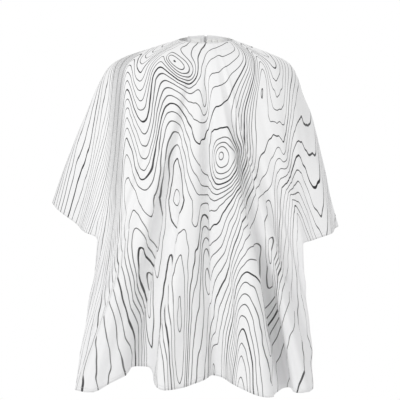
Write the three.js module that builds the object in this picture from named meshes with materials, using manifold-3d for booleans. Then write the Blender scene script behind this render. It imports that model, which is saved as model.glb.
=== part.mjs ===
// Barber cape, closed round a wearer's neck and hanging over the shoulders, arms and lap.
// Millimetres, +Z up. The front faces -Y and the closure is at the back, at +Y.
// The origin is the centre of the neck opening, on the wearer's neck axis.
//
// The cloth is one flat cut with a neck hole and a slit from the hole to the back hem. Every thread that runs
// out from the hole is a "ray": it leaves the neck ring, bends over the shoulder line and falls to the edge.
// A place on the cloth is (edge, out): how far round the cut edge its ray ends, counted from the middle of the
// front hem, and how far out along the ray it lies from the neckline.

import * as THREE from 'three';
import { mergeVertices } from 'three/addons/utils/BufferGeometryUtils.js';
import Module from 'manifold-3d';

// Flat cut, half of it, from the middle of the front hem to the slit: x across and y towards the back, measured
// from the neck axis. It is widest at the arms, with a shallow notch under each arm.
const armHalfWidth = 600;
const frontHemHalfWidth = 400;
const backHemHalfWidth = 450;
const frontReach = 935;
const backReach = 465;
const notchHalfWidth = 430;
const notchReach = 380;

// Neck ring: round in front, nearly flat at the back where the closure lies
const neckRadius = 66;
const closureMargin = 0.8;
const neckMidHeight = 5;
const neckBackRise = 14;
const neckRoundness = 20;
const slitHalfAngle = THREE.MathUtils.degToRad(4);

// Shoulder line, where the cloth turns from lying to hanging
const shoulderLeft = 247;
const shoulderRight = 222;
const shoulderFront = 115;
const shoulderHeight = -47;
const shoulderFrontDrop = 15;
const shoulderSquareness = 2.4;
const shoulderRounding = 46;
const backRounding = 14;

// Layers, each thickness and the air between neighbours
const layerGap = 0.3;
const clothThickness = 1.2;
const interliningThickness = 0.5;
const facingThickness = 0.7;
const facingInset = 2;
const facingWidth = 30;
const bandSteps = 3;

// How finely the cloth is faceted
const columnsPerSide = [11, 8, 7, 12, 12];
const hangingRows = 13;

// Snap fasteners
const snapRow = 16;
const studCount = 3;
const studEdgeMargin = 1.8;
const studClearance = 1.6;
const engagedStud = 1;
const studRadius = 5.2;
const studFlange = 0.8;
const ballRadius = 2.7;
const ballHeight = 1.4;
const snapClearance = 0.35;
const socketRadius = 5;
const socketPlate = 0.7;
const capRadius = 6.2;
const capFlange = 1;
const capDome = 0.9;
const prongRadius = 1.2;
const prongHoleRadius = 1.6;

// Overlap tab, the strap that crosses the slit
const tabHeight = 28;
const tabHingeX = -20;
const tabTipMargin = 10;
const tabLiningThickness = 0.6;
const tabInterliningThickness = 0.4;
const tabClothThickness = 0.6;
const tabMoverStart = 0.6;
const tabAnchorGap = 3.4;
const anchorLength = 21;
const anchorSewnLength = 10;
const anchorSewnThickness = 1.8;

// Care label inside the back
const labelWidth = 24;
const labelHeight = 36;
const labelThickness = 0.4;
const labelX = -24;
const labelDrop = 8;

const printedCloth = new THREE.MeshStandardMaterial({ color: 0xf3f3f4, roughness: 0.8, metalness: 0 });
const plainCloth = new THREE.MeshStandardMaterial({ color: 0xe9e9ea, roughness: 0.85, metalness: 0 });
const interlining = new THREE.MeshStandardMaterial({ color: 0xdcdcd8, roughness: 0.9, metalness: 0 });
const snapPlastic = new THREE.MeshStandardMaterial({ color: 0xf0f0ee, roughness: 0.35, metalness: 0 });
const labelSatin = new THREE.MeshStandardMaterial({ color: 0xfafafa, roughness: 0.5, metalness: 0 });

const cut = [
  new THREE.Vector2(0, -frontReach),
  new THREE.Vector2(frontHemHalfWidth, -frontReach),
  new THREE.Vector2(notchHalfWidth, -notchReach),
  new THREE.Vector2(armHalfWidth, 0),
  new THREE.Vector2(backHemHalfWidth, backReach),
  new THREE.Vector2(0, backReach),
];
const cutRuns = cut.slice(1).map((corner, i) => corner.distanceTo(cut[i]));
const cornerEdges = cutRuns.map((_, i) => cutRuns.slice(0, i + 1).reduce((sum, run) => sum + run, 0));
const [frontCorner, notch, wing, backCorner, slit] = cornerEdges;

// Where the cut edge hangs: [station, x, y, z]. A station counts the cut's corners from the middle of the front
// hem, so 1.5 is halfway from the first corner to the second, and is negative on the wearer's right, at -X.
// The front hem swings forward and back in folds, the notch under each arm parts the front from the sleeve,
// and the sleeve edge rounds the elbow, at station 3, to the shorter back.
const hemPlaces = [
  [-5, -12, 180, -440],
  [-4.5, -115, 172, -438],
  [-4, -225, 155, -432],
  [-3.7, -272, 132, -415],
  [-3.35, -330, 80, -395],
  [-3, -363, 0, -389],
  [-2.67, -325, -62, -426],
  [-2.32, -285, -100, -455],
  [-2, -252, -118, -473],
  [-1.81, -257, -125, -530],
  [-1.51, -275, -135, -645],
  [-1.17, -293, -150, -765],
  [-1, -300, -165, -815],
  [-0.9, -262, -225, -815],
  [-0.8, -215, -215, -795],
  [-0.67, -165, -150, -764],
  [-0.57, -140, -158, -763],
  [-0.36, -95, -252, -806],
  [-0.18, -40, -235, -800],
  [0, 12, -165, -782],
  [0.33, 75, -240, -802],
  [0.55, 138, -262, -821],
  [0.77, 186, -165, -810],
  [0.92, 222, -212, -816],
  [1, 249, -160, -812],
  [1.17, 246, -140, -765],
  [1.51, 239, -122, -660],
  [1.81, 228, -112, -545],
  [2, 226, -112, -485],
  [2.32, 255, -98, -474],
  [2.67, 292, -60, -460],
  [3, 317, 0, -447],
  [3.35, 288, 78, -445],
  [3.7, 240, 130, -455],
  [4, 205, 152, -460],
  [4.5, 110, 172, -448],
  [5, 12, 180, -440],
];

// Folds that run down the back, growing in from behind the arms
const backFoldDepth = 34;
const backFoldSpacing = 300;
const backFoldStart = 50;
const backFoldGrowth = 250;

// A curve through the places that never overshoots them, so a corner of the cloth stays a corner.
function smoothCurve(knots, values) {
  const last = knots.length - 1;
  const slope = (i) => (values[i + 1] - values[i]) / (knots[i + 1] - knots[i]);
  const tangents = values.map((value, i) => {
    const before = slope(Math.max(i - 1, 0));
    const after = slope(Math.min(i, last - 1));
    return before * after <= 0 ? 0 : (2 * before * after) / (before + after);
  });
  return (at) => {
    let i = 0;
    while (i < last - 1 && at > knots[i + 1]) i += 1;
    const span = knots[i + 1] - knots[i];
    const t = (at - knots[i]) / span;
    const rise = values[i + 1] - values[i];
    const ease = t * t * (3 - 2 * t);
    const leave = t * (1 - t) * (1 - t) * span;
    const arrive = t * t * (t - 1) * span;
    return values[i] + rise * ease + tangents[i] * leave + tangents[i + 1] * arrive;
  };
}

function edgeAtStation(station) {
  const whole = Math.floor(Math.abs(station));
  const edge = (whole ? cornerEdges[whole - 1] : 0) + (Math.abs(station) - whole) * (cutRuns[whole] ?? 0);
  return Math.sign(station) * edge;
}

const hemKnots = hemPlaces.map((place) => edgeAtStation(place[0]));
const hemCurves = [1, 2, 3].map((axis) => smoothCurve(hemKnots, hemPlaces.map((place) => place[axis])));

function hemPoint(edge) {
  const point = new THREE.Vector3(...hemCurves.map((curve) => curve(edge)));
  const along = Math.abs(edge);
  const growth = THREE.MathUtils.smoothstep(along - wing, backFoldStart, backFoldStart + backFoldGrowth);
  const fold = backFoldDepth * growth * Math.cos((2 * Math.PI * (along - slit)) / backFoldSpacing);
  return point.addScaledVector(point.clone().setZ(0).normalize(), fold);
}

// The flat cut's edge point.
function flatEdge(edge) {
  const along = Math.min(Math.abs(edge), slit);
  const corner = cornerEdges.findIndex((end) => along <= end);
  const share = 1 - (cornerEdges[corner] - along) / cutRuns[corner];
  const point = cut[corner].clone().lerp(cut[corner + 1], share);
  return edge < 0 ? point.setX(-point.x) : point;
}

// Angle round the neck axis, 0 at the front and positive towards +X. The slit keeps its half angle open.
const opened = (Math.PI - slitHalfAngle) / Math.PI;

// The studs stand in a row from the slit, with their caps clear of each other, and the neck ring is flat as far
// as the last one reaches.
const studSpacing = 2 * capRadius + studClearance;
const studSpots = Array.from({ length: studCount }, (_, i) => capRadius + studEdgeMargin + i * studSpacing);
const closureHalfWidth = studSpots[studCount - 1] + capRadius + closureMargin;
const neckBackFlat = Math.sqrt(neckRadius ** 2 - closureHalfWidth ** 2);

function rayAngle(edge) {
  const { x, y } = flatEdge(edge);
  const angle = Math.atan2(Math.abs(x), -y) * opened;
  return edge < 0 ? -angle : angle;
}

function neckPoint(angle) {
  const flat = neckBackFlat / Math.max(-Math.cos(angle), 0.01);
  const radius = (neckRadius ** -neckRoundness + flat ** -neckRoundness) ** (-1 / neckRoundness);
  const height = neckMidHeight - neckBackRise * Math.cos(angle);
  return new THREE.Vector3(radius * Math.sin(angle), -radius * Math.cos(angle), height);
}

function shoulderPoint(angle, neck) {
  const reach = angle < 0 ? shoulderLeft : shoulderRight;
  const spread = Math.sin(angle) ** 2;
  const x = neck.x + Math.sign(angle) * (reach - neckRadius) * spread;
  const depth = Math.cos(angle) > 0 ? -shoulderFront : neckBackFlat;
  const narrowing = (1 - Math.abs(x / reach) ** shoulderSquareness) ** (1 / shoulderSquareness);
  return new THREE.Vector3(x, depth * narrowing, shoulderHeight - shoulderFrontDrop * Math.cos(angle));
}

function ray(edge) {
  const angle = rayAngle(edge);
  const neck = neckPoint(angle);
  const shoulder = shoulderPoint(angle, neck);
  const hem = hemPoint(edge);
  const frontness = (1 + Math.cos(angle)) / 2;
  const sideness = Math.sin(angle) ** 2;
  return {
    shoulder,
    toNeck: neck.clone().sub(shoulder).normalize(),
    toHem: hem.clone().sub(shoulder).normalize(),
    neckLength: neck.distanceTo(shoulder),
    length: neck.distanceTo(shoulder) + hem.distanceTo(shoulder),
    rounding: backRounding + (shoulderRounding - backRounding) * Math.max(frontness, sideness),
  };
}

// A place on the cloth's outer surface: two straight runs joined by a smooth bend over the shoulder line.
function clothPoint(edge, out) {
  const { shoulder, toNeck, toHem, neckLength, rounding } = ray(edge);
  const past = out - neckLength;
  const ramp = (run) => (run + Math.hypot(run, rounding)) / 2;
  return shoulder.clone().addScaledVector(toNeck, ramp(-past)).addScaledVector(toHem, ramp(past));
}

function clothNormal(edge, out) {
  const step = 1;
  const sideways = clothPoint(Math.min(edge + step, slit), out);
  sideways.sub(clothPoint(Math.max(edge - step, -slit), out));
  const outwards = clothPoint(edge, out + step).sub(clothPoint(edge, out - step));
  return outwards.cross(sideways).normalize();
}

function closedMesh(points, triangles) {
  const geometry = new THREE.BufferGeometry();
  geometry.setAttribute('position', new THREE.Float32BufferAttribute(points.flatMap((p) => p.toArray()), 3));
  geometry.setIndex(triangles);
  geometry.computeVertexNormals();
  return geometry;
}

// A layer of cloth between two depths under the outer surface, over a grid of columns and rows.
// rowsAt gives the distances out from the neckline for a column.
function clothLayer(columns, rowsAt, top, bottom) {
  const places = columns.map((edge) => rowsAt(edge).map((out) => [clothPoint(edge, out), clothNormal(edge, out)]));
  const rows = places[0].length;
  const sheet = (depth) => places.flat().map(([point, normal]) => point.clone().addScaledVector(normal, -depth));
  const points = [...sheet(top), ...sheet(bottom)];
  const under = columns.length * rows;
  const at = (column, row) => column * rows + row;
  const triangles = [];
  const quad = (a, b, c, d) => triangles.push(a, b, c, a, c, d);
  for (let column = 0; column < columns.length - 1; column += 1) {
    for (let row = 0; row < rows - 1; row += 1) {
      const [a, b] = [at(column, row), at(column, row + 1)];
      const [c, d] = [at(column + 1, row + 1), at(column + 1, row)];
      quad(a, b, c, d);
      triangles.push(under + a, under + c, under + b, under + a, under + d, under + c);
    }
    quad(at(column, 0), at(column + 1, 0), under + at(column + 1, 0), under + at(column, 0));
    const end = rows - 1;
    quad(at(column + 1, end), at(column, end), under + at(column, end), under + at(column + 1, end));
  }
  const lastColumn = columns.length - 1;
  for (let row = 0; row < rows - 1; row += 1) {
    quad(at(0, row + 1), at(0, row), under + at(0, row), under + at(0, row + 1));
    const [near, far] = [at(lastColumn, row), at(lastColumn, row + 1)];
    quad(near, far, under + far, under + near);
  }
  return closedMesh(points, triangles);
}

function spaced(from, to, count) {
  return Array.from({ length: count }, (_, i) => from + ((to - from) * (i + 1)) / count);
}

const halfColumns = cornerEdges.flatMap((end, i) => spaced(i ? cornerEdges[i - 1] : 0, end, columnsPerSide[i]));
const columns = [...halfColumns.map((edge) => -edge).reverse(), 0, ...halfColumns];
const bandEnd = facingInset + facingWidth;
const bandRows = [facingInset, ...spaced(facingInset, bandEnd, bandSteps)];
const clothRows = (edge) => [0, ...bandRows, ...spaced(bandEnd, ray(edge).length, hangingRows)];

// Depths of the layers under the cloth's outer surface
const interliningTop = clothThickness + layerGap;
const facingTop = interliningTop + interliningThickness + layerGap;
const insideDepth = facingTop + facingThickness;

// The edge whose ray passes the row of snaps at x, on the +X side of the slit, found by halving.
function edgeAtSpot(x) {
  let [near, far] = [slit, backCorner];
  for (let i = 0; i < 40; i += 1) {
    const middle = (near + far) / 2;
    if (clothPoint(middle, snapRow).x < x) near = middle;
    else far = middle;
  }
  return near;
}

// A frame standing on the cloth's outer surface, with its Y axis along the normal.
function standOn(edge, out) {
  const normal = clothNormal(edge, out);
  const turn = new THREE.Quaternion().setFromUnitVectors(new THREE.Vector3(0, 1, 0), normal);
  return { position: clothPoint(edge, out), quaternion: turn };
}

// The studs that the tab covers stand square to it, and the rest square to the cloth.
const studPlaces = studSpots.map((x, i) => {
  const place = standOn(edgeAtSpot(x), snapRow);
  return i > engagedStud ? place : { position: place.position, quaternion: new THREE.Quaternion() };
});
const engaged = studPlaces[engagedStud].position;

// Heights above the cloth's outer surface along a snap's axis
const flangeTop = layerGap + studFlange;
const ballTop = flangeTop + ballHeight;
const socketBottom = flangeTop + layerGap;
const plateBottom = ballTop + layerGap;
const plateTop = plateBottom + socketPlate;
const liningBottom = plateTop + layerGap;
const tabInterliningBottom = liningBottom + tabLiningThickness + layerGap;
const tabClothBottom = tabInterliningBottom + tabInterliningThickness + layerGap;
const tabTop = tabClothBottom + tabClothThickness;

const smoothSides = 20;

function turned(profile) {
  const outline = [...profile, profile[0]].map(([radius, height]) => new THREE.Vector2(radius, height));
  return new THREE.LatheGeometry(outline, smoothSides);
}

// A cap: a shallow dome with a prong that runs down its axis to the height prongEnd.
function capShape(prongEnd) {
  const dome = Array.from({ length: 5 }, (_, i) => {
    const lean = (i / 5) * (Math.PI / 2);
    return [capRadius * Math.cos(lean), capFlange + capDome * Math.sin(lean)];
  });
  const outline = [[0, prongEnd], [prongRadius, prongEnd], [prongRadius, 0], [capRadius, 0], ...dome];
  outline.push([0, capFlange + capDome]);
  return new THREE.LatheGeometry(outline.map(([r, y]) => new THREE.Vector2(r, y)), smoothSides);
}

// A stud: a flange and a ball, with the hole that the prong is pressed into.
function studShape() {
  const neck = ballRadius - 0.4;
  const middle = flangeTop + ballHeight * 0.6;
  return turned([
    [prongHoleRadius, layerGap], [studRadius, layerGap], [studRadius, flangeTop], [neck, flangeTop],
    [ballRadius, middle], [neck, ballTop], [prongHoleRadius, ballTop],
  ]);
}

function socketShape() {
  const bore = ballRadius + snapClearance;
  return turned([
    [prongHoleRadius, plateBottom], [bore, plateBottom], [bore, socketBottom], [socketRadius, socketBottom],
    [socketRadius, plateTop], [prongHoleRadius, plateTop],
  ]);
}

const wasm = await Module();
wasm.setup();

function toSolid(geometry, place) {
  const bare = new THREE.BufferGeometry();
  bare.setAttribute('position', geometry.getAttribute('position').clone());
  bare.setIndex(geometry.index.clone());
  if (place) bare.applyMatrix4(new THREE.Matrix4().compose(place.position, place.quaternion, new THREE.Vector3(1, 1, 1)));
  const merged = mergeVertices(bare, 1e-4);
  return new wasm.Manifold(new wasm.Mesh({
    numProp: 3,
    vertProperties: Float32Array.from(merged.getAttribute('position').array),
    triVerts: Uint32Array.from(merged.index.array),
  }));
}

function fromSolid(solid) {
  const mesh = solid.getMesh();
  const geometry = new THREE.BufferGeometry();
  geometry.setAttribute('position', new THREE.Float32BufferAttribute(mesh.vertProperties, 3));
  geometry.setIndex(Array.from(mesh.triVerts));
  geometry.computeVertexNormals();
  return geometry;
}

// Pierces a layer of the cape for every stud's prong.
function pierced(geometry) {
  const reach = 2 * (insideDepth + flangeTop);
  const drill = new THREE.CylinderGeometry(prongHoleRadius, prongHoleRadius, reach, smoothSides);
  return fromSolid(studPlaces.reduce((solid, place) => solid.subtract(toSolid(drill, place)), toSolid(geometry)));
}

const cape = new THREE.Group();

function add(name, geometry, material, place = {}) {
  const mesh = new THREE.Mesh(geometry, material);
  mesh.name = name;
  if (place.position) mesh.position.copy(place.position);
  if (place.quaternion) mesh.quaternion.copy(place.quaternion);
  cape.add(mesh);
}

function addCloth() {
  add('cape_cloth', pierced(clothLayer(columns, clothRows, 0, clothThickness)), printedCloth);
  const band = () => bandRows;
  const stiffener = clothLayer(columns, band, interliningTop, interliningTop + interliningThickness);
  add('neck_interlining', pierced(stiffener), interlining);
  add('neck_facing', pierced(clothLayer(columns, band, facingTop, insideDepth)), plainCloth);
}

// A stud on the outside and its cap on the inside, for each place in the row.
function addStuds() {
  const cap = capShape(-(insideDepth + layerGap + ballTop - 2 * layerGap));
  const inwards = new THREE.Quaternion().setFromAxisAngle(new THREE.Vector3(1, 0, 0), Math.PI);
  studPlaces.forEach((place, i) => {
    add(`stud_${i + 1}`, studShape(), snapPlastic, place);
    const inside = new THREE.Vector3(0, -(insideDepth + layerGap), 0).applyQuaternion(place.quaternion);
    add(`stud_cap_${i + 1}`, cap.clone(), snapPlastic, {
      position: place.position.clone().add(inside),
      quaternion: place.quaternion.clone().multiply(inwards),
    });
  });
}

const tabTip = engaged.x + tabTipMargin;
const tabLeft = tabHingeX + tabMoverStart;

// One flat layer of the tab, with a rounded tip and the prong's hole, seen from behind and then stood up.
function tabLayer(bottom, thickness, inset) {
  const half = tabHeight / 2 - inset;
  const tip = tabTip - inset;
  const corner = half * 0.45;
  const outline = new THREE.Shape();
  outline.moveTo(tabLeft, -half);
  outline.lineTo(tip - corner, -half);
  outline.absarc(tip - corner, -half + corner, corner, -Math.PI / 2, 0);
  outline.absarc(tip - corner, half - corner, corner, 0, Math.PI / 2);
  outline.lineTo(tabLeft, half);
  outline.holes.push(new THREE.Path().absarc(engaged.x, 0, prongHoleRadius, 0, 2 * Math.PI, true));
  const plate = new THREE.ExtrudeGeometry(outline, { depth: thickness, bevelEnabled: false, curveSegments: 8 });
  plate.rotateX(Math.PI / 2);
  plate.translate(0, engaged.y + bottom + thickness, engaged.z);
  return plate;
}

function addTab() {
  add('tab_lining', tabLayer(liningBottom, tabLiningThickness, 0), plainCloth);
  add('tab_interlining', tabLayer(tabInterliningBottom, tabInterliningThickness, 2), interlining);
  add('tab_cloth', tabLayer(tabClothBottom, tabClothThickness, 0), printedCloth);
  add('tab_socket', socketShape(), snapPlastic, { position: engaged });
  const capBottom = tabTop + layerGap;
  const prong = capShape(plateBottom + layerGap - capBottom);
  add('tab_cap', prong, snapPlastic, { position: engaged.clone().setY(engaged.y + capBottom) });
}

// The sewn end of the tab: flat on the cloth, clear of where the cloth stands proudest under it, then rising to
// the height of the free end.
function addAnchor() {
  const end = tabHingeX - tabAnchorGap;
  const start = end - anchorLength;
  const lowerRow = snapRow + tabHeight / 2;
  const under = [start, end].map((x) => clothPoint(-edgeAtSpot(-x), lowerRow).y);
  const seat = Math.max(engaged.y, ...under) + layerGap;
  const [endBottom, endTop] = [liningBottom, tabTop].map((height) => engaged.y + height - seat);
  const sewnEnd = start + anchorSewnLength;
  const middle = (sewnEnd + end) / 2;
  const outline = new THREE.Shape();
  outline.moveTo(start, 0);
  outline.lineTo(sewnEnd, 0);
  outline.bezierCurveTo(middle, 0, middle, endBottom, end, endBottom);
  outline.lineTo(end, endTop);
  outline.bezierCurveTo(middle, endTop, middle, anchorSewnThickness, sewnEnd, anchorSewnThickness);
  outline.lineTo(start, anchorSewnThickness);
  outline.closePath();
  const strap = new THREE.ExtrudeGeometry(outline, { depth: tabHeight, bevelEnabled: false, curveSegments: 6 });
  strap.translate(0, seat, engaged.z - tabHeight / 2);
  add('tab_anchor', strap, printedCloth);
}

function addLabel() {
  const plate = new THREE.BoxGeometry(labelWidth, labelThickness, labelHeight);
  const y = neckBackFlat - insideDepth - layerGap - labelThickness / 2;
  const top = neckPoint(Math.PI).z - labelDrop;
  add('care_label', plate, labelSatin, { position: new THREE.Vector3(labelX, y, top - labelHeight / 2) });
}

addCloth();
addStuds();
addTab();
addAnchor();
addLabel();

export default cape;
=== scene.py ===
import math

import bmesh
import bpy
import numpy as np
from mathutils import Matrix, Vector, noise


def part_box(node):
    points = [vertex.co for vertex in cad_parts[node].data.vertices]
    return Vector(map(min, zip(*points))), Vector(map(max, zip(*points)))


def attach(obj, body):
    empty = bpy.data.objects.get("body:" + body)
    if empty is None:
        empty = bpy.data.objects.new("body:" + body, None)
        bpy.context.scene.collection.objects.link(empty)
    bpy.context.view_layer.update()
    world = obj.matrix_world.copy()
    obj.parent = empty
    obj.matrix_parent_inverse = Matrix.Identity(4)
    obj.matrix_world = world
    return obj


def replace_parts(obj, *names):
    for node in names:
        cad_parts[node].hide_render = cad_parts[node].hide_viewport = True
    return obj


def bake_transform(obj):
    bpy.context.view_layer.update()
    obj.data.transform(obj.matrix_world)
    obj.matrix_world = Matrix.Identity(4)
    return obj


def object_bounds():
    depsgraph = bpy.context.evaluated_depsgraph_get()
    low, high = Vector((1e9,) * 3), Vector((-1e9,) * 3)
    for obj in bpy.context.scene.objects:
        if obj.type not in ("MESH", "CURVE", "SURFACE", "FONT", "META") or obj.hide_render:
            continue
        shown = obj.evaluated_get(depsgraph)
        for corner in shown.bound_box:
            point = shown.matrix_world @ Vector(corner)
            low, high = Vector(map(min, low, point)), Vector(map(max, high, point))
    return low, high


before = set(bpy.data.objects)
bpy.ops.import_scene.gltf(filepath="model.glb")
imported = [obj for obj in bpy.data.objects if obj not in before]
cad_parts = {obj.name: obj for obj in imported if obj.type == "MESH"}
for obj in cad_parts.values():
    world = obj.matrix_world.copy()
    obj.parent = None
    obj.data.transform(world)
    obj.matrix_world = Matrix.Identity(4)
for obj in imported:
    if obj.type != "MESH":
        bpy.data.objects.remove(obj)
cad_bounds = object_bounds()

# Barber cape: printed cloth hanging from a snapped neckband, in metres.
# A place on the cloth is (edge, out). Edge is how far round the cut edge its ray ends, counted from the
# middle of the front hem, and out is how far along the ray it lies from the neckline.

# Flat cut, half of it, from the middle of the front hem to the slit
CUT = np.array([(0, -0.935), (0.400, -0.935), (0.430, -0.380), (0.600, 0), (0.450, 0.465), (0, 0.465)])
CUT_RUNS = np.concatenate([[0], np.cumsum(np.hypot(*np.diff(CUT, axis=0).T))])
FRONT_CORNER, NOTCH, WING, BACK_CORNER, SLIT = CUT_RUNS[1:]
BACK_REACH = CUT[-1, 1]

# Neck ring and shoulder line
NECK_RADIUS = 0.066
CLOSURE_HALF_WIDTH = 0.043
NECK_BACK_FLAT = math.sqrt(NECK_RADIUS ** 2 - CLOSURE_HALF_WIDTH ** 2)
NECK_MID_HEIGHT = 0.005
NECK_BACK_RISE = 0.014
NECK_ROUNDNESS = 20
SLIT_HALF_ANGLE = 4
OPENED = 1 - SLIT_HALF_ANGLE / 180
SHOULDER_LEFT = 0.247
SHOULDER_RIGHT = 0.222
SHOULDER_FRONT = 0.115
SHOULDER_HEIGHT = -0.047
SHOULDER_FRONT_DROP = 0.015
SHOULDER_SQUARENESS = 2.4
SHOULDER_ROUNDING = 0.046
BACK_ROUNDING = 0.014

# Where the cut edge hangs: [station, x, y, z], the places in millimetres. A station counts the cut's corners
# from the middle of the front hem, and is negative on the wearer's right, at -X.
HEM_PLACES = np.array([
    [-5, -12, 180, -440],
    [-4.5, -115, 172, -438],
    [-4, -225, 155, -432],
    [-3.7, -272, 132, -415],
    [-3.35, -330, 80, -395],
    [-3, -363, 0, -389],
    [-2.67, -325, -62, -426],
    [-2.32, -285, -100, -455],
    [-2, -252, -118, -473],
    [-1.81, -257, -125, -530],
    [-1.51, -275, -135, -645],
    [-1.17, -293, -150, -765],
    [-1, -300, -165, -815],
    [-0.9, -262, -225, -815],
    [-0.8, -215, -215, -795],
    [-0.67, -165, -150, -764],
    [-0.57, -140, -158, -763],
    [-0.36, -95, -252, -806],
    [-0.18, -40, -235, -800],
    [0, 12, -165, -782],
    [0.33, 75, -240, -802],
    [0.55, 138, -262, -821],
    [0.77, 186, -165, -810],
    [0.92, 222, -212, -816],
    [1, 249, -160, -812],
    [1.17, 246, -140, -765],
    [1.51, 239, -122, -660],
    [1.81, 228, -112, -545],
    [2, 226, -112, -485],
    [2.32, 255, -98, -474],
    [2.67, 292, -60, -460],
    [3, 317, 0, -447],
    [3.35, 288, 78, -445],
    [3.7, 240, 130, -455],
    [4, 205, 152, -460],
    [4.5, 110, 172, -448],
    [5, 12, 180, -440],
])
HEM_KNOTS = np.sign(HEM_PLACES[:, 0]) * np.interp(np.abs(HEM_PLACES[:, 0]), range(6), CUT_RUNS)
HEM_POINTS = HEM_PLACES[:, 1:] / 1000

BACK_FOLD_DEPTH = 0.034
BACK_FOLD_SPACING = 0.300
BACK_FOLD_START = 0.050
BACK_FOLD_GROWTH = 0.250

# Soft folds on top of the drape: [spacing round the hem, depth, how they lean, where they start]
SOFT_FOLDS = [(0.155, 0.0040, 5.2, 0.4), (0.093, 0.0018, -7.6, 2.1)]
FOLD_SWAY = 1.4
FOLD_SWAY_RATE = 5
# Creases between them: [width, length, depth]
CREASES = [(0.085, 0.34, 0.0090), (0.040, 0.15, 0.0026)]
CREASE_ONSET = 1.6
# How folds grow from the neckband down
FOLD_FREE = 0.055
FOLD_GROWTH = 0.35
FOLD_LIMIT = 1.6
FOLD_EASE = 1.4
# The front's two sides hang straighter than the rest
SIDE_CALM = 0.65
SIDE_EASE_IN = (-0.10, 0.05)
SIDE_EASE_OUT = (0, 0.08)

# Layers under the cloth's outer surface
CLOTH_THICKNESS = 0.0010
INTERLINING_DEPTH = 0.0015
INTERLINING_THICKNESS = 0.0005
FACING_DEPTH = 0.0023
FACING_THICKNESS = 0.0007
FACING_INSET = 0.002
FACING_WIDTH = 0.030
HEM_TURNING = 0.011
TURNING_THICKNESS = 0.0006
TURNING_DEPTH = CLOTH_THICKNESS + 0.0001
HEM_INSET = 0.0003
SLIT_INSET = 0.0002
SLIT_TURNING_GAP = 0.002

# Snaps
SNAP_ROW = 0.016
STUD_SPOTS = (0.008, 0.022, 0.036)
ENGAGED_STUD = 1
SNAP_SIDES = 48
SNAP_BEVEL = 0.00015
SHARP_TURN = 0.7
CAP_DEPTH = 0.0033
SOCKET_CAP_HEIGHT = 0.0063

# Snap caps, in millimetres
POST_RADIUS = 1.2
CAP_RADIUS = 6.2
CAP_RIM = 1.0
CAP_CROWN = 0.9
STUD_POST = 5.2
SOCKET_POST = 3.2

# Overlap strap
STRAP_THICKNESS = 0.0020
STRAP_SEWN = 0.010
STRAP_RISE_END = 0.001
STRAP_REST = 0.0024
STRAP_CORNER = 0.45
STRAP_CROWN = 0.00035
STRAP_ROLL = 0.0010
STRAP_SETTLED = 0.0003
STRAP_PRINT_TOP = 0.2
STRAP_NO_TURNING = 0.02
SEAM_DEPTH = 0.00022
SEAM_INSET = 0.0030
SEAM_WIDTH = 0.0005
SEAM_CORNER = 0.4

# Care label
LABEL_THICKNESS = 0.0003
LABEL_CURL = 0.0024
LABEL_BOW = 0.0008
LABEL_RIB = 0.0006
SELVEDGE = (0.0008, 0.0014)

# Stitching
THREAD = 0.00028
STITCH = 0.0028
STITCH_SPACING = 0.0038
STITCH_LIFT = THREAD * 0.3
STRAP_STITCH_SINK = 0.00015
BAND_ROWS = (0.004, 0.029)
HEM_ROW_INSET = 0.002
ROW_END = 0.008
SLIT_ROW = 0.009
SLIT_ROW_START = 0.034
SLIT_ROW_END = 0.012
ROOT_ROWS = (0, 0.007)

# Print
LINE_SPACING = 0.024
BOLD_EVERY = 5
BOLD_MARGIN = 0.45
LEAST_STEEPNESS = 0.0004
LINE_WIDTH = 0.00065
CROSSING_WIDTH = 0.0006
BOLD_WIDTH = 0.0005
LINE_BLUR = 0.0005
PRINT_STEP = 0.0012
PRINTED_WEAVE = 0.0009
# Band along the turned-in cut edges: painted shade in the print's ground, and a raised bump
TURNED_EDGE_SHADE_AND_BUMP = (0.0102, 0.0112)

# How the print lies on the cloth. The turns are degrees round the neck from the middle of the front.
FRONT_GRAIN = 0.8
ARM_GRAIN = 0.62
ARM_GRAIN_REACH = 0.30
ARM_GRAIN_SLANT = 0.7
ARM_GRAIN_SHORTENED = 0.55
BACK_GRAIN = 1.15
FRONT_TO_ARM = (38, 72)
ARM_TO_BACK = (105, 145)

# How the print's contour map rises
GRAIN_ALONG = 0.8
GRAIN_ACROSS = 1.25
GRAIN_TILT = 0.35
LOWER_START = 0.40
LOWER_ALONG = 0.62
LOWER_SPREAD = 0.45
DRIFT = 0.34
DRIFT_SCALES = (5.5, 0.55)
LOWER_DRIFT = 0.55
RIGHT_ARM_DRIFT = 0.20
RIGHT_ARM_START = (0.25, 0.40)
RIGHT_ARM_END = (0.60, 0.80)
RIPPLE = 0.020
RIPPLE_SCALES = (38, 16)

# Mesh sizes
CLOTH_COLUMNS = 420
CLOTH_ROWS = 109

# Studio
FLOOR_RADIUS = 1.5
FLOOR_DROP = 0.35
WORLD_LIGHT = 0.68
CAMERA_DISTANCE = 3.4
CAMERA_FRAMED = 0.932
CAMERA_TARGET = Vector((-0.014, -0.10, -0.382))


# ---------------------------------------------------------------- the drape

def smooth_curve(knots, values, at):
    """A curve through the values that never overshoots them."""
    run = np.diff(knots)[:, None]
    rise = np.diff(values, axis=0)
    slope = rise / run
    before, after = slope[:-1], slope[1:]
    both = np.where(before * after > 0, before + after, 1)
    inner = np.where(before * after > 0, 2 * before * after / both, 0)
    tangents = np.vstack([slope[:1], inner, slope[-1:]])
    i = np.clip(np.searchsorted(knots, at) - 1, 0, len(knots) - 2)
    span = run[i]
    t = (at - knots[i])[..., None] / span
    ease = rise[i] * t * t * (3 - 2 * t)
    leave = tangents[i] * t * (1 - t) ** 2 * span
    arrive = tangents[i + 1] * t * t * (t - 1) * span
    return values[i] + ease + leave + arrive


def smoothstep(value, start, end):
    t = np.clip((value - start) / (end - start), 0, 1)
    return t * t * (3 - 2 * t)


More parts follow.
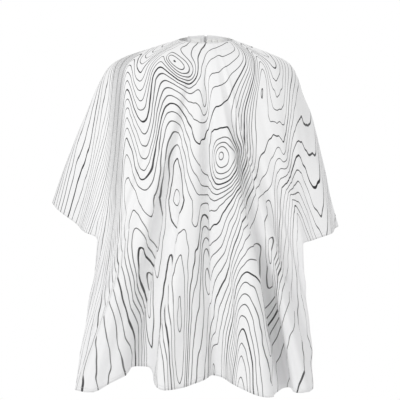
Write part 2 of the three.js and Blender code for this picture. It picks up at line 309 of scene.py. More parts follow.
def flat_edge(edge):
    """The flat cut's edge point."""
    along = np.abs(edge)
    x = np.interp(along, CUT_RUNS, CUT[:, 0])
    return np.stack([np.where(edge < 0, -x, x), np.interp(along, CUT_RUNS, CUT[:, 1])], -1)


def hem_point(edge):
    point = smooth_curve(HEM_KNOTS, HEM_POINTS, edge)
    along = np.abs(edge)
    growth = smoothstep(along - WING, BACK_FOLD_START, BACK_FOLD_START + BACK_FOLD_GROWTH)
    fold = BACK_FOLD_DEPTH * growth * np.cos(2 * np.pi * (along - SLIT) / BACK_FOLD_SPACING)
    outward = point * (1, 1, 0)
    outward /= np.linalg.norm(outward, axis=-1, keepdims=True)
    return point + outward * fold[..., None]


def ray(edge):
    """The neck, shoulder and hem points of a ray, its two lengths and its rounding."""
    flat = flat_edge(edge)
    angle = np.arctan2(np.abs(flat[..., 0]), -flat[..., 1]) * OPENED
    angle = np.where(edge < 0, -angle, angle)
    sine, cosine = np.sin(angle), np.cos(angle)
    back = NECK_BACK_FLAT / np.maximum(-cosine, 0.01)
    radius = (NECK_RADIUS ** -NECK_ROUNDNESS + back ** -NECK_ROUNDNESS) ** (-1 / NECK_ROUNDNESS)
    neck = np.stack([radius * sine, -radius * cosine, NECK_MID_HEIGHT - NECK_BACK_RISE * cosine], -1)
    reach = np.where(angle < 0, SHOULDER_LEFT, SHOULDER_RIGHT)
    x = neck[..., 0] + np.sign(angle) * (reach - NECK_RADIUS) * sine ** 2
    depth = np.where(cosine > 0, -SHOULDER_FRONT, NECK_BACK_FLAT)
    y = depth * (1 - np.abs(x / reach) ** SHOULDER_SQUARENESS) ** (1 / SHOULDER_SQUARENESS)
    shoulder = np.stack([x, y, SHOULDER_HEIGHT - SHOULDER_FRONT_DROP * cosine], -1)
    hem = hem_point(edge)
    near = np.linalg.norm(neck - shoulder, axis=-1)
    far = np.linalg.norm(hem - shoulder, axis=-1)
    rounding = BACK_ROUNDING + (SHOULDER_ROUNDING - BACK_ROUNDING) * np.maximum((1 + cosine) / 2, sine ** 2)
    return neck, shoulder, hem, near, far, rounding


def ray_length(edge):
    near, far = ray(edge)[3:5]
    return near + far


def drape(edge, out):
    """A place on the smooth drape: two straight runs joined by a bend over the shoulder line."""
    neck, shoulder, hem, near, far, rounding = ray(edge)
    to_neck = (neck - shoulder) / near[..., None]
    to_hem = (hem - shoulder) / far[..., None]
    past = out - near
    up = (-past + np.hypot(past, rounding)) / 2
    down = (past + np.hypot(past, rounding)) / 2
    return shoulder + to_neck * up[..., None] + to_hem * down[..., None]


def normals_of(surface, edge, out, step=0.001):
    sideways = surface(np.minimum(edge + step, SLIT), out) - surface(np.maximum(edge - step, -SLIT), out)
    outwards = surface(edge, out + step) - surface(edge, out - step)
    normal = np.cross(outwards, sideways)
    return normal / np.linalg.norm(normal, axis=-1, keepdims=True)


HEM_EDGES = np.linspace(-SLIT, SLIT, 2001)
HEM_STEPS = np.linalg.norm(np.diff(hem_point(HEM_EDGES), axis=0), axis=1)
HEM_RUN = np.concatenate([[0], np.cumsum(HEM_STEPS)])


def fold_height(edge, out):
    """How far the soft folds and creases stand off the drape, from nothing at the neckband."""
    share = np.clip((out - FOLD_FREE) / FOLD_GROWTH, 0, FOLD_LIMIT)
    run = np.interp(edge, HEM_EDGES, HEM_RUN)
    height = 0
    for spacing, depth, lean, start in SOFT_FOLDS:
        sway = FOLD_SWAY * np.sin(run * FOLD_SWAY_RATE + start)
        height = height + depth * np.sin(2 * np.pi * run / spacing + lean * out + start + sway)
    height = share ** FOLD_EASE * height
    place = print_place(edge, out)
    for width, length, depth in CREASES:
        crease = [noise.noise((x / width, down / length, width)) for x, down in place.reshape(-1, 2)]
        height = height + depth * np.reshape(crease, height.shape) * np.minimum(share * CREASE_ONSET, 1)
    beside = smoothstep(np.abs(edge) - FRONT_CORNER, *SIDE_EASE_IN)
    beside = beside * (1 - smoothstep(np.abs(edge) - NOTCH, *SIDE_EASE_OUT))
    return height * (1 - SIDE_CALM * beside)


def cloth(edge, out):
    """A place on the cloth's outer surface, with its soft folds."""
    normal = normals_of(drape, edge, out)
    return drape(edge, out) + normal * fold_height(edge, out)[..., None]


def flat_place(edge, out):
    """Where a place lies on the flat cut."""
    rim = flat_edge(edge)
    hole = rim * NECK_RADIUS / np.linalg.norm(rim, axis=-1, keepdims=True)
    share = (out / ray_length(edge))[..., None]
    return hole + (rim - hole) * share


def print_place(edge, out):
    """Where a place lies on the print: across the grain, and along it. The grain runs down the front and the
    back and out along the arms."""
    flat = flat_place(edge, out)
    across = np.abs(flat[..., 0])
    back = flat[..., 1]
    radius = np.hypot(across, back)
    turn = np.degrees(np.arctan2(across, -back))
    to_arm = smoothstep(turn, *FRONT_TO_ARM)
    to_back = smoothstep(turn, *ARM_TO_BACK)
    arm = ARM_GRAIN * (1 - np.exp(-radius / ARM_GRAIN_REACH)) + ARM_GRAIN_SLANT * back
    grain = FRONT_GRAIN * across * (1 - to_arm) + arm * to_arm
    grain = grain * (1 - to_back) + (BACK_GRAIN - across) * to_back
    along = out * (1 - ARM_GRAIN_SHORTENED * to_arm)
    return np.stack([np.where(edge < 0, -grain, grain), along], -1)


def edge_distance(edge, out):
    """How far in from the cut edge or the slit a place is."""
    flat = flat_place(edge, out)
    side = np.abs(flat[..., 0])
    ends = np.stack([flat[..., 1] - CUT[0, 1], CUT[-1, 1] - flat[..., 1]], -1).min(-1)
    sides = []
    for start, end in zip(CUT[1:-2], CUT[2:-1]):
        right, up = (end - start) / np.hypot(*(end - start))
        sides.append(right * (flat[..., 1] - start[1]) - up * (side - start[0]))
    slit = np.where(flat[..., 1] > 0, side, 1)
    return np.min([ends, *sides, slit], axis=0)


# ---------------------------------------------------------------- meshes

def finished(bm, name, body, materials):
    """Makes the piece and lets it move with its body."""
    mesh = bpy.data.meshes.new(name)
    bm.to_mesh(mesh)
    bm.free()
    for material in materials:
        mesh.materials.append(material)
    mesh.shade_smooth()
    piece = bpy.data.objects.new(name, mesh)
    bpy.context.scene.collection.objects.link(piece)
    if body:
        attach(piece, body)
    return piece


def grid(columns, rows):
    """A bmesh grid and its vertices' places, both from 0 to 1."""
    bm = bmesh.new()
    bmesh.ops.create_grid(bm, x_segments=columns, y_segments=rows, size=0.5)
    places = np.array([vert.co[:2] for vert in bm.verts]) + 0.5
    return bm, places[:, 0], places[:, 1]


def move(bm, points):
    for vert, point in zip(bm.verts, points):
        vert.co = point


def face_backwards(bm):
    """Turns the outer side of a nearly flat sheet to +Y."""
    bm.normal_update()
    if sum(face.normal.y for face in bm.faces) < 0:
        bmesh.ops.reverse_faces(bm, faces=bm.faces[:])


def attribute(piece, name, values):
    """Stores a vector for each point of the piece, for its materials."""
    data = piece.data.attributes.new(name, "FLOAT_VECTOR", "POINT")
    data.data.foreach_set("vector", np.ascontiguousarray(values, np.float32).ravel())


def thicken(piece, thickness, inner_material=0):
    """Gives a sheet its thickness, inwards from its outer face."""
    solid = piece.modifiers.new("thickness", "SOLIDIFY")
    solid.thickness = thickness
    solid.offset = -1
    solid.material_offset = inner_material


def cloth_facts(edge, out):
    """The place on the print and the distance from the cut edge, as one vector for each point."""
    return np.column_stack([print_place(edge, out), edge_distance(edge, out)])


def sheet_from(name, edge, out, depth, bm, materials, thickness, inner_material=0):
    """A sheet over the places (edge, out), at a depth under the cloth's outer surface."""
    normal = normals_of(cloth, edge, out)
    points = cloth(edge, out) - normal * depth
    move(bm, points)
    bm.normal_update()
    if sum(vert.normal.dot(Vector(normal[i])) for i, vert in enumerate(bm.verts)) < 0:
        bmesh.ops.reverse_faces(bm, faces=bm.faces[:])
    piece = finished(bm, name, "cape", materials)
    attribute(piece, "print_place", cloth_facts(edge, out))
    thicken(piece, thickness, inner_material)
    return piece


def make_cape(finishes):
    bm, across, down = grid(CLOTH_COLUMNS, CLOTH_ROWS)
    edge = (across * 2 - 1) * SLIT
    out = down * ray_length(edge)
    piece = sheet_from(
        "cape_cloth_draped", edge, out, 0, bm, [finishes["print"], finishes["reverse"]], CLOTH_THICKNESS,
        inner_material=1,
    )
    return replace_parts(piece, "cape_cloth")


def make_band(name, depth, thickness, finish, node):
    """A strip that follows the neckline inside the cloth."""
    bm, across, down = grid(200, 8)
    edge = (across * 2 - 1) * SLIT
    out = FACING_INSET + down * FACING_WIDTH
    piece = sheet_from(name, edge, out, depth, bm, [finish], thickness)
    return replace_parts(piece, node)


def make_hem_turning(finish):
    """The cut edge, turned in and sewn down."""
    bm, across, down = grid(CLOTH_COLUMNS, 3)
    edge = (across * 2 - 1) * SLIT
    length = ray_length(edge)
    out = length - HEM_TURNING * (1 - down) - HEM_INSET
    return sheet_from("hem_turning", edge, out, TURNING_DEPTH, bm, [finish], TURNING_THICKNESS)


def slit_spread(share):
    """How wide the cloth is near the slit, a share of the way out, against its width at the back hem."""
    return (NECK_RADIUS + (BACK_REACH - NECK_RADIUS) * share) / BACK_REACH


def make_slit_turnings(finish):
    """The slit's two edges, turned in and sewn down."""
    pieces = []
    for side, sign in (("left", -1), ("right", 1)):
        bm, across, down = grid(3, 90)
        length = ray_length(np.full_like(down, SLIT))
        start = FACING_INSET + FACING_WIDTH + SLIT_TURNING_GAP
        out = start + down * (length - start - HEM_TURNING - SLIT_TURNING_GAP / 2)
        edge = sign * (SLIT - across * HEM_TURNING / slit_spread(out / length) - SLIT_INSET)
        name = f"slit_turning_{side}"
        pieces.append(sheet_from(name, edge, out, TURNING_DEPTH, bm, [finish], TURNING_THICKNESS))
    return pieces


def place_along(along, values, at):
    """The value a given run along a line."""
    return Vector([np.interp(at, along, values[:, axis]) for axis in range(3)])


def thread_run(bm, points, normals, lift):
    """Straight stitches along a line, half sunk in the cloth."""
    along = np.concatenate([[0], np.cumsum(np.linalg.norm(np.diff(points, axis=0), axis=1))])
    for middle in np.arange(STITCH, along[-1] - STITCH, STITCH_SPACING):
        start = place_along(along, points, middle - STITCH / 2)
        end = place_along(along, points, middle + STITCH / 2)
        normal = place_along(along, normals, middle)
        direction = (end - start).normalized()
        side = normal.cross(direction).normalized()
        turn = Matrix((side, direction.cross(side), direction)).transposed().to_4x4()
        place = Matrix.Translation((start + end) / 2 + normal * lift)
        bmesh.ops.create_cone(
            bm, cap_ends=True, segments=5, radius1=THREAD, radius2=THREAD, depth=STITCH, matrix=place @ turn,
        )


def make_stitching(finish):
    """Topstitching round the neckband, the hem and the slit, on the outer face."""
    bm = bmesh.new()
    edge = np.linspace(-SLIT + ROW_END, SLIT - ROW_END, 1400)
    rows = [(edge, np.full_like(edge, at)) for at in BAND_ROWS]
    rows.append((edge, ray_length(edge) - HEM_TURNING + HEM_ROW_INSET))
    out = np.linspace(SLIT_ROW_START, ray_length(SLIT) - SLIT_ROW_END, 200)
    for sign in (-1, 1):
        rows.append((sign * (SLIT - SLIT_ROW / slit_spread(out / out[-1])), out))
    for edges, outs in rows:
        thread_run(bm, cloth(edges, outs), normals_of(cloth, edges, outs), STITCH_LIFT)
    return finished(bm, "cape_stitching", "cape", [finish])


# ---------------------------------------------------------------- closure

def stand_on(spot, square):
    """The place and the axis of a snap in the row, square to the tab or to the cloth."""
    edges = np.linspace(SLIT, BACK_CORNER, 400)
    row = drape(edges, np.full_like(edges, SNAP_ROW))
    edge = np.interp([spot], row[:, 0], edges)
    out = np.array([SNAP_ROW])
    axis = Vector((0, 1, 0)) if square else Vector(normals_of(drape, edge, out)[0])
    return Vector(drape(edge, out)[0]), axis


SNAPS = [stand_on(spot, i <= ENGAGED_STUD) for i, spot in enumerate(STUD_SPOTS)]
ENGAGED = SNAPS[ENGAGED_STUD][0]


def turned_piece(name, body, node, profile, place, axis, finish):
    """A moulded snap part, turned from its profile of (radius, height along the axis) in millimetres."""
    bm = bmesh.new()
    verts = [bm.verts.new((radius / 1000, 0, height / 1000)) for radius, height in profile]
    for start, end in zip(verts, verts[1:] + verts[:1]):
        if start.co.x + end.co.x > 1e-9:
            bm.edges.new((start, end))
    bmesh.ops.spin(
        bm, geom=bm.verts[:] + bm.edges[:], cent=(0, 0, 0), axis=(0, 0, 1), dvec=(0, 0, 0),
        angle=2 * math.pi, steps=SNAP_SIDES, use_merge=True, use_duplicate=False,
    )
    bmesh.ops.remove_doubles(bm, verts=bm.verts[:], dist=1e-6)
    bmesh.ops.recalc_face_normals(bm, faces=bm.faces[:])
    sharp = [edge for edge in bm.edges if edge.is_manifold and edge.calc_face_angle() > SHARP_TURN]
    bmesh.ops.bevel(
        bm, geom=sharp, offset=SNAP_BEVEL, offset_type="OFFSET", affect="EDGES", segments=2, profile=0.5,
        material=-1, clamp_overlap=True,
    )
    turn = Vector((0, 0, 1)).rotation_difference(axis).to_matrix().to_4x4()
    bmesh.ops.transform(bm, matrix=Matrix.Translation(place) @ turn, verts=bm.verts[:])
    piece = finished(bm, name, body, [finish])
    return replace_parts(piece, node)


def dome(base, radius, rise, steps=6):
    """The upper outline of a shallow dome that stands on height base."""
    leans = [step / steps * math.pi / 2 for step in range(steps)]
    return [(radius * math.cos(lean), base + rise * math.sin(lean)) for lean in leans] + [(0, base + rise)]


def cap_profile(post):
    """A domed cap with its rim at height 0 and a post that runs down from it."""
    stem = [(0, -post), (POST_RADIUS, -post), (POST_RADIUS, 0)]
    return [*stem, (CAP_RADIUS, 0), *dome(CAP_RIM, CAP_RADIUS, CAP_CROWN)]


def make_snaps(finish):
    """The row of studs and the tab's socket, turned from heights in millimetres above the cloth."""
    stud = [(1.6, 0.3), (4.9, 0.3), (5.2, 0.6), (5.0, 1.0), (4.0, 1.1), (2.5, 1.15), (2.3, 1.3), (2.45, 1.6),
            (2.7, 1.94), (2.6, 2.25), (2.2, 2.45), (1.6, 2.5)]
    cap = cap_profile(STUD_POST)
    for i, (place, axis) in enumerate(SNAPS):
        turned_piece(f"snap_stud_{i + 1}", "cape", f"stud_{i + 1}", stud, place, axis, finish)
        back = place - axis * CAP_DEPTH
        turned_piece(f"snap_stud_cap_{i + 1}", "cape", f"stud_cap_{i + 1}", cap, back, -axis, finish)
    out = Vector((0, 1, 0))
    socket = [(1.6, 2.8), (3.05, 2.8), (3.05, 1.7), (3.3, 1.4), (4.4, 1.4), (5.0, 1.8), (5.0, 3.5),
              (1.6, 3.5)]
    turned_piece("snap_socket", "tab", "tab_socket", socket, ENGAGED, out, finish)
    outer = cap_profile(SOCKET_POST)
    turned_piece("snap_socket_cap", "tab", "tab_cap", outer, ENGAGED + out * SOCKET_CAP_HEIGHT, out, finish)


def strap_middle(x):
    """How far back the strap's outer face lies, along its length."""
    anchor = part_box("tab_anchor")
    rise = smoothstep(x, anchor[0].x + STRAP_SEWN, anchor[1].x + STRAP_RISE_END)
    low = ENGAGED.y + STRAP_REST
    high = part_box("tab_cloth")[1].y
    return low + (high - low) * rise


def make_strap(finishes):
    """The overlap tab in one piece, sewn flat at its root and free past the hinge."""
    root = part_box("tab_anchor")[0]
    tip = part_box("tab_cloth")[1]
    middle = (root.z + tip.z) / 2
    half = (tip.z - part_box("tab_cloth")[0].z) / 2
    bm, across, up = grid(96, 28)
    x = root.x + across * (tip.x - root.x)
    corner = half * STRAP_CORNER
    past = np.maximum(x - (tip.x - corner), 0)
    reach = half - corner + np.sqrt(np.maximum(corner ** 2 - past ** 2, 0))
    reach = np.where(past >= corner, half - corner, reach)
    z = middle + (up * 2 - 1) * reach
    rim = np.minimum(np.minimum(x - root.x, tip.x - x), reach - np.abs(z - middle))
    crown = STRAP_CROWN * (1 - np.exp(-np.maximum(rim, 0) / STRAP_ROLL))
    seam = SEAM_DEPTH * np.exp(-((rim - SEAM_INSET) / SEAM_WIDTH) ** 2)
    y = strap_middle(x) + crown - seam - STRAP_SETTLED
    move(bm, np.column_stack([x, y, z]))
    face_backwards(bm)
    piece = finished(bm, "overlap_strap", None, [finishes["print"], finishes["plain"]])
    flat = np.column_stack([BACK_GRAIN + x, STRAP_PRINT_TOP - z, np.maximum(rim, 0) + STRAP_NO_TURNING])
    attribute(piece, "print_place", flat)
    thicken(piece, STRAP_THICKNESS, inner_material=1)
    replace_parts(piece, "tab_anchor", "tab_cloth", "tab_interlining", "tab_lining")
    return piece


def strap_stitch_rows():
    """The topstitched box round the strap and the two rows across its root."""
    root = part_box("tab_anchor")[0]
    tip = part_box("tab_cloth")[1]
    middle = (root.z + tip.z) / 2
    half = (tip.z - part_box("tab_cloth")[0].z) / 2 - SEAM_INSET
    left = root.x + SEAM_INSET
    right = tip.x - SEAM_INSET
    corner = half * SEAM_CORNER
    turn = np.linspace(0, math.pi / 2, 12)
    upper = [(x, half) for x in np.linspace(left, right - corner, 80)]
    upper += [(right - corner + corner * math.sin(a), half - corner + corner * math.cos(a)) for a in turn]
    lower = [(x, -z) for x, z in reversed(upper)]
    across = [[(left + at, z) for z in np.linspace(-half, half, 20)] for at in ROOT_ROWS]
    for row in (upper + lower, *across):
        line = np.array(row)
        yield np.column_stack([line[:, 0], strap_middle(line[:, 0]), middle + line[:, 1]])


def make_strap_stitching(finish):
    bm = bmesh.new()
    for points in strap_stitch_rows():
        thread_run(bm, points, np.tile([0.0, 1.0, 0.0], (len(points), 1)), -STRAP_STITCH_SINK)
    return finished(bm, "overlap_strap_stitching", None, [finish])


def across_hinge(piece):
    """Bakes the piece's placement into its mesh."""
    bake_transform(piece)


def make_label(finishes):
    """The care label, a satin flap that curls a little away from the band."""
    low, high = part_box("care_label")
    bm, across, down = grid(24, 36)
    x = low.x + across * (high.x - low.x)
    z = high.z - down * (high.z - low.z)
    curl = LABEL_CURL * down ** 2 + LABEL_BOW * down * np.sin(across * math.pi)
    y = high.y - curl
    move(bm, np.column_stack([x, y, z]))
    face_backwards(bm)
    piece = finished(bm, "care_label_flap", "label", [finishes["satin"]])
    rim = np.minimum(np.minimum(x - low.x, high.x - x), np.minimum(z - low.z, high.z - z))
    attribute(piece, "print_place", np.column_stack([x, z, rim]))
    thicken(piece, LABEL_THICKNESS)
    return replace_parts(piece, "care_label")


# ---------------------------------------------------------------- finishes

class Number:
    """A number in a finish that varies over the surface."""

    def __init__(self, finish, socket):
        self.finish = finish
        self.socket = socket

    def maths(self, operation, *others):
        values = dict(enumerate([self, *others]))
        return self.finish.number("ShaderNodeMath", {"operation": operation}, values)

    def flipped(self, operation, other):
        return self.finish.number("ShaderNodeMath", {"operation": operation}, {0: other, 1: self})

    def __add__(self, other):
        return self.maths("ADD", other)

    def __radd__(self, other):
        return self.maths("ADD", other)

    def __sub__(self, other):
        return self.maths("SUBTRACT", other)

    def __rsub__(self, other):
        return self.flipped("SUBTRACT", other)

    def __mul__(self, other):
        return self.maths("MULTIPLY", other)

    def __rmul__(self, other):
        return self.maths("MULTIPLY", other)

    def __truediv__(self, other):
        return self.maths("DIVIDE", other)

    def __rtruediv__(self, other):
        return self.flipped("DIVIDE", other)


class Finish:
    """A material and the nodes that make it."""

    def __init__(self, name, roughness, **constants):
        self.material = bpy.data.materials.new(name)
        self.material.use_nodes = True
        self.tree = self.material.node_tree
        self.shader = self.tree.nodes["Principled BSDF"]
        self.shader.inputs["Roughness"].default_value = roughness
        for socket, value in constants.items():
            self.shader.inputs[socket.replace("_", " ").title().replace("Ior", "IOR")].default_value = value

    def node(self, kind, settings, inputs):
        made = self.tree.nodes.new(kind)
        for name, value in settings.items():
            setattr(made, name, value)
        for name, value in inputs.items():
            self.feed(made.inputs[name], value)
        return made

    def number(self, kind, settings, inputs, output=0):
        return Number(self, self.node(kind, settings, inputs).outputs[output])

    def feed(self, socket, value):
        if isinstance(value, Number):
            value = value.socket
        if isinstance(value, bpy.types.NodeSocket):
            self.tree.links.new(value, socket)
        else:
            socket.default_value = value

    def mix(self, share, first, second):
        """A colour between two, by share."""
        made = self.node("ShaderNodeMix", {"data_type": "RGBA"}, {0: share, 6: first, 7: second})
        return made.outputs[2]

    def noise(self, place, scale, detail=2.0, roughness=0.5):
        inputs = {"Vector": place, "Scale": scale, "Detail": detail, "Roughness": roughness}
        return self.number("ShaderNodeTexNoise", {}, inputs)

    def vector(self, x, y, z=0.0):
        return self.node("ShaderNodeCombineXYZ", {}, {"X": x, "Y": y, "Z": z}).outputs[0]

    def attribute(self, name):
        made = self.node("ShaderNodeAttribute", {"attribute_name": name}, {})
        parts = self.node("ShaderNodeSeparateXYZ", {}, {"Vector": made.outputs["Vector"]})
        return [Number(self, parts.outputs[i]) for i in range(3)]

    def object_place(self):
        return self.node("ShaderNodeTexCoord", {}, {}).outputs["Object"]

    def step(self, value, start, end):
        """0 at start and 1 at end, eased between."""
        settings = {"interpolation_type": "SMOOTHSTEP"}
        inputs = {"Value": value, "From Min": start, "From Max": end}
        return self.number("ShaderNodeMapRange", settings, inputs)

    def bump(self, height, distance, strength=1.0):
        inputs = {"Height": height, "Distance": distance, "Strength": strength}
        made = self.node("ShaderNodeBump", {}, inputs)
        self.feed(self.shader.inputs["Normal"], made.outputs[0])

    def colour(self, value):
        self.feed(self.shader.inputs["Base Color"], value)

    def roughness(self, value):
        self.feed(self.shader.inputs["Roughness"], value)


# What bends the grain: [across, along, half width, half length, lift], in metres on the print. A positive
# lift draws the lines up into an arch and a negative one draws them down into a bowl.
KNOTS = [
    (-0.219, 0.22, 0.046, 0.36, 0.20),
    (-0.085, 0.28, 0.034, 0.20, 0.13),
    (-0.054, 0.090, 0.026, 0.034, -0.105),
    (-0.004, 0.165, 0.013, 0.045, -0.05),
    (0.062, 0.315, 0.050, 0.066, -0.135),
    (0.046, 0.288, 0.015, 0.024, -0.035),
    (0.086, 0.292, 0.014, 0.022, -0.035),
    (-0.066, 0.074, 0.012, 0.016, -0.030),
    (0.050, 0.400, 0.085, 0.180, -0.10),
    (0.130, 0.120, 0.036, 0.150, 0.14),
    (-0.012, 0.530, 0.012, 0.100, 0.075),
    (-0.072, 0.720, 0.024, 0.300, -0.11),
    (-0.122, 0.760, 0.018, 0.260, 0.07),
    (0.105, 0.860, 0.046, 0.300, 0.22),
    (0.190, 0.560, 0.022, 0.170, -0.10),
    (-0.170, 0.610, 0.022, 0.170, 0.11),
    (-0.185, 0.890, 0.022, 0.110, 0.07),
    (-0.010, 0.860, 0.014, 0.055, 0.05),
    (0.250, 0.300, 0.036, 0.200, -0.08),
    (0.007, 0.760, 0.016, 0.060, 0.05),
    (0.980, 0.260, 0.045, 0.080, -0.15),
    (0.880, 0.420, 0.030, 0.120, 0.11),
    (-0.930, 0.300, 0.050, 0.075, 0.16),
    (-1.060, 0.180, 0.026, 0.055, -0.08),
    (-0.740, 0.220, 0.045, 0.080, -0.14),
]


def stretched_noise(finish, across, along, scales):
    """Noise about 0, drawn out along the grain."""
    place = finish.vector(across * scales[0], along * scales[1])
    return finish.noise(place, 1.0, detail=1.0) - 0.5


def grain_height(finish, across, along):
    """The contour map that the print's lines follow: long grain that drifts and bends round knots."""
    lower = (along - LOWER_START).maths("MAXIMUM", 0)
    height = along * GRAIN_ALONG - lower * LOWER_ALONG - lower * across * LOWER_SPREAD
    height = height + across * GRAIN_ACROSS - across.maths("ABSOLUTE") * GRAIN_TILT
    drift = stretched_noise(finish, across, along, DRIFT_SCALES)
    right_arm = finish.step(across * -1, *RIGHT_ARM_START) * (1 - finish.step(across * -1, *RIGHT_ARM_END))
    height = height + drift * (DRIFT - lower * LOWER_DRIFT - right_arm * RIGHT_ARM_DRIFT)
    height = height + stretched_noise(finish, across, along, RIPPLE_SCALES) * RIPPLE
    for x, y, wide, tall, lift in KNOTS:
        right = (across - x) / wide
        down = (along - y) / tall
        height = height + ((right * right + down * down) * -1).maths("EXPONENT") * lift
    return height


def print_lines(finish, across, along):
    """How much ink there is: contour lines, thicker across the grain, and every fifth one bold."""
    height = grain_height(finish, across, along)
    sideways = (grain_height(finish, across + PRINT_STEP, along) - height) / PRINT_STEP
    down = (grain_height(finish, across, along + PRINT_STEP) - height) / PRINT_STEP
    steepness = (sideways * sideways + down * down + LEAST_STEEPNESS).maths("SQRT")
    crossing = down.maths("ABSOLUTE") / steepness
    index = height / LINE_SPACING
    nearest = index.maths("ROUND")
    away = (index - nearest).maths("ABSOLUTE") * LINE_SPACING / steepness
    bold = ((nearest / BOLD_EVERY).maths("FRACT") - 0.5).maths("ABSOLUTE").maths("GREATER_THAN", BOLD_MARGIN)
    width = LINE_WIDTH + crossing * CROSSING_WIDTH + bold * BOLD_WIDTH
    ink = 1 - finish.step((away - width) / LINE_BLUR, -0.5, 0.5)
    return ink * (0.83 + 0.10 * crossing + 0.10 * bold)


def weave(finish, u, v, spacing):
    """Crossed threads, as a height from 0 to 1."""
    turn = 2 * math.pi / spacing
    return (u * turn).maths("SINE") * (v * turn).maths("SINE") * 0.5 + 0.5


def printed_cloth():
    finish = Finish(
        "printed_polyester", 0.78, sheen_weight=0.15, sheen_roughness=0.5, specular_ior_level=0.3,
    )
    u, v, rim = finish.attribute("print_place")
    place = finish.vector(u, v)
    mottle = finish.noise(place, 9, detail=3.0)
    threads = weave(finish, u, v, PRINTED_WEAVE)
    # Painted shade: a band along the turned-in cut edges, where the cloth lies doubled, is darkened and also
    # raised in the bump
    turned = 1 - finish.step(rim, *TURNED_EDGE_SHADE_AND_BUMP)
    ink = print_lines(finish, u, v)
    ground = finish.mix(mottle, (0.90, 0.90, 0.905, 1), (0.935, 0.935, 0.935, 1))
    # Painted shade: the ground is darkened a little along the turned-in cut edges
    ground = finish.mix(turned * 0.25, ground, (0.84, 0.84, 0.85, 1))
    ground = finish.mix(threads * 0.05, ground, (0.75, 0.75, 0.76, 1))
    finish.colour(finish.mix(ink, ground, (0.018, 0.018, 0.020, 1)))
    finish.roughness(0.74 + mottle * 0.08 - ink * 0.12)
    crinkle = finish.noise(place, 60, detail=3.0)
    finish.bump(threads * 0.06 + crinkle * 0.35 + turned * 0.5, 0.0012, 0.6)
    return finish.material


def plain_cloth(name, colour, shade, threads, ghost=0.0):
    """Unprinted woven or felted cloth. The ghost is how much of the print shows through it."""
    finish = Finish(name, 0.85, sheen_weight=0.1, specular_ior_level=0.25)
    u, v, rim = finish.attribute("print_place")
    place = finish.vector(u, v)
    mottle = finish.noise(place, 14, detail=3.0)
    woven = weave(finish, u, v, threads)
    ground = finish.mix(mottle, colour, shade)
    ground = finish.mix(woven * 0.12, ground, (0.6, 0.6, 0.6, 1))
    if ghost:
        ground = finish.mix(print_lines(finish, u, v) * ghost, ground, (0.25, 0.25, 0.26, 1))
    finish.colour(ground)
    finish.roughness(0.82 + mottle * 0.1)
    finish.bump(woven * 0.2 + finish.noise(place, 70, detail=2.0) * 0.5, 0.0008, 0.6)
    return finish.material


def satin():
    finish = Finish("label_satin", 0.4, sheen_weight=0.3, anisotropic=0.4)
    x, z, rim = finish.attribute("print_place")
    ribs = (z * (2 * math.pi / LABEL_RIB)).maths("SINE") * 0.5 + 0.5
    selvedge = 1 - finish.step(rim, *SELVEDGE)
    mottle = finish.noise(finish.vector(x, z), 220, detail=2.0)
    ground = finish.mix(mottle, (0.90, 0.90, 0.89, 1), (0.95, 0.95, 0.945, 1))
    finish.colour(finish.mix(selvedge * 0.35, ground, (0.70, 0.70, 0.69, 1)))
    finish.roughness(0.36 + ribs * 0.12 + selvedge * 0.15)
    finish.bump(ribs * 0.4 + selvedge * 0.6, 0.0002, 0.5)
    return finish.material


def snap_plastic():
    finish = Finish("snap_plastic", 0.3, ior=1.5, coat_roughness=0.2)
    place = finish.object_place()
    mottle = finish.noise(place, 300, detail=3.0)
    speckle = finish.step(finish.noise(place, 1600, detail=1.0), 0.62, 0.72)
    ground = finish.mix(mottle, (0.84, 0.84, 0.82, 1), (0.90, 0.90, 0.885, 1))
    finish.colour(finish.mix(speckle * 0.10, ground, (0.66, 0.66, 0.64, 1)))
    finish.roughness(0.26 + mottle * 0.12)
    finish.bump(mottle * 0.5 + speckle * 0.3, 0.0001, 0.4)
    return finish.material


def thread_finish():
    finish = Finish("spun_thread", 0.7, sheen_weight=0.3)
    place = finish.object_place()
    twist = finish.noise(place, 2500, detail=2.0)
    finish.colour(finish.mix(twist, (0.80, 0.80, 0.80, 1), (0.93, 0.93, 0.93, 1)))
    finish.roughness(0.6 + twist * 0.2)
    finish.bump(twist, 0.0001, 0.6)
    return finish.material


# ---------------------------------------------------------------- studio

def floor_finish():
    finish = Finish("studio_floor", 0.9)
    mottle = finish.noise(finish.object_place(), 1.5, detail=2.0)
    finish.colour(finish.mix(mottle, (0.88, 0.88, 0.88, 1), (0.92, 0.92, 0.92, 1)))
    finish.roughness(0.85 + mottle * 0.1)
    return finish.material


def area_light(name, place, target, size, energy):
    light = bpy.data.lights.new(name, "AREA")
    light.shape = "DISK"
    light.size = size
    light.energy = energy
    lamp = bpy.data.objects.new(name, light)
    lamp.location = place
    lamp.rotation_euler = (Vector(target) - Vector(place)).to_track_quat("-Z", "Y").to_euler()
    bpy.context.scene.collection.objects.link(lamp)


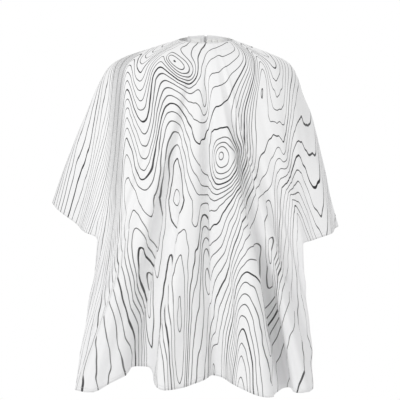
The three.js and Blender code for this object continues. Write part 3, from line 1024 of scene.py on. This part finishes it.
def make_studio():
    low, high = cad_bounds
    middle = (low + high) / 2
    bm = bmesh.new()
    bmesh.ops.create_circle(bm, cap_ends=True, segments=96, radius=FLOOR_RADIUS)
    bmesh.ops.translate(bm, vec=(middle.x, middle.y, low.z - FLOOR_DROP), verts=bm.verts[:])
    mesh = bpy.data.meshes.new("studio_floor")
    bm.to_mesh(mesh)
    bm.free()
    mesh.materials.append(floor_finish())
    floor = bpy.data.objects.new("studio_floor", mesh)
    bpy.context.scene.collection.objects.link(floor)

    area_light("key", (-1.7, -2.3, 0.9), middle, 1.6, 30)
    area_light("fill", (2.2, -1.6, 0.2), middle, 2.2, 7)
    area_light("back", (0.9, 2.4, 1.0), middle, 1.8, 16)
    world = bpy.data.worlds.new("studio")
    world.use_nodes = True
    tree = world.node_tree
    tree.nodes["Background"].inputs["Color"].default_value = (1, 1, 1, 1)
    seen = tree.nodes.new("ShaderNodeLightPath").outputs["Is Camera Ray"]
    strength = tree.nodes.new("ShaderNodeMapRange")
    strength.inputs["To Min"].default_value = WORLD_LIGHT
    strength.inputs["To Max"].default_value = 1.0
    tree.links.new(seen, strength.inputs["Value"])
    tree.links.new(strength.outputs[0], tree.nodes["Background"].inputs["Strength"])
    bpy.context.scene.world = world
    bpy.context.scene.view_settings.view_transform = "Standard"


def make_camera():
    camera = bpy.data.objects.new("camera", bpy.data.cameras.new("camera"))
    camera.data.lens = camera.data.sensor_width * CAMERA_DISTANCE / CAMERA_FRAMED
    camera.location = CAMERA_TARGET - Vector((0, CAMERA_DISTANCE, 0))
    camera.rotation_euler = (math.pi / 2, 0, 0)
    bpy.context.scene.collection.objects.link(camera)
    bpy.context.scene.camera = camera


def main():
    make_camera()
    finishes = {
        "print": printed_cloth(),
        "reverse": plain_cloth(
            "cloth_reverse", (0.86, 0.86, 0.865, 1), (0.91, 0.91, 0.91, 1), PRINTED_WEAVE, ghost=0.10,
        ),
        "plain": plain_cloth("plain_twill", (0.82, 0.82, 0.83, 1), (0.88, 0.88, 0.88, 1), 0.0012),
        "felt": plain_cloth("interlining_felt", (0.72, 0.72, 0.69, 1), (0.80, 0.80, 0.77, 1), 0.0020),
        "satin": satin(),
        "thread": thread_finish(),
        "plastic": snap_plastic(),
    }
    cape = make_cape(finishes)
    hem = make_hem_turning(finishes["reverse"])
    slits = make_slit_turnings(finishes["reverse"])
    facing = make_band(
        "neck_facing_strip", FACING_DEPTH, FACING_THICKNESS, finishes["plain"], "neck_facing",
    )
    stiffener = make_band(
        "neck_interlining_strip", INTERLINING_DEPTH, INTERLINING_THICKNESS, finishes["felt"],
        "neck_interlining",
    )
    stitching = make_stitching(finishes["thread"])
    strap = make_strap(finishes)
    strap_stitching = make_strap_stitching(finishes["thread"])
    across_hinge(strap)
    across_hinge(strap_stitching)
    label = make_label(finishes)
    make_snaps(finishes["plastic"])
    make_studio()


main()
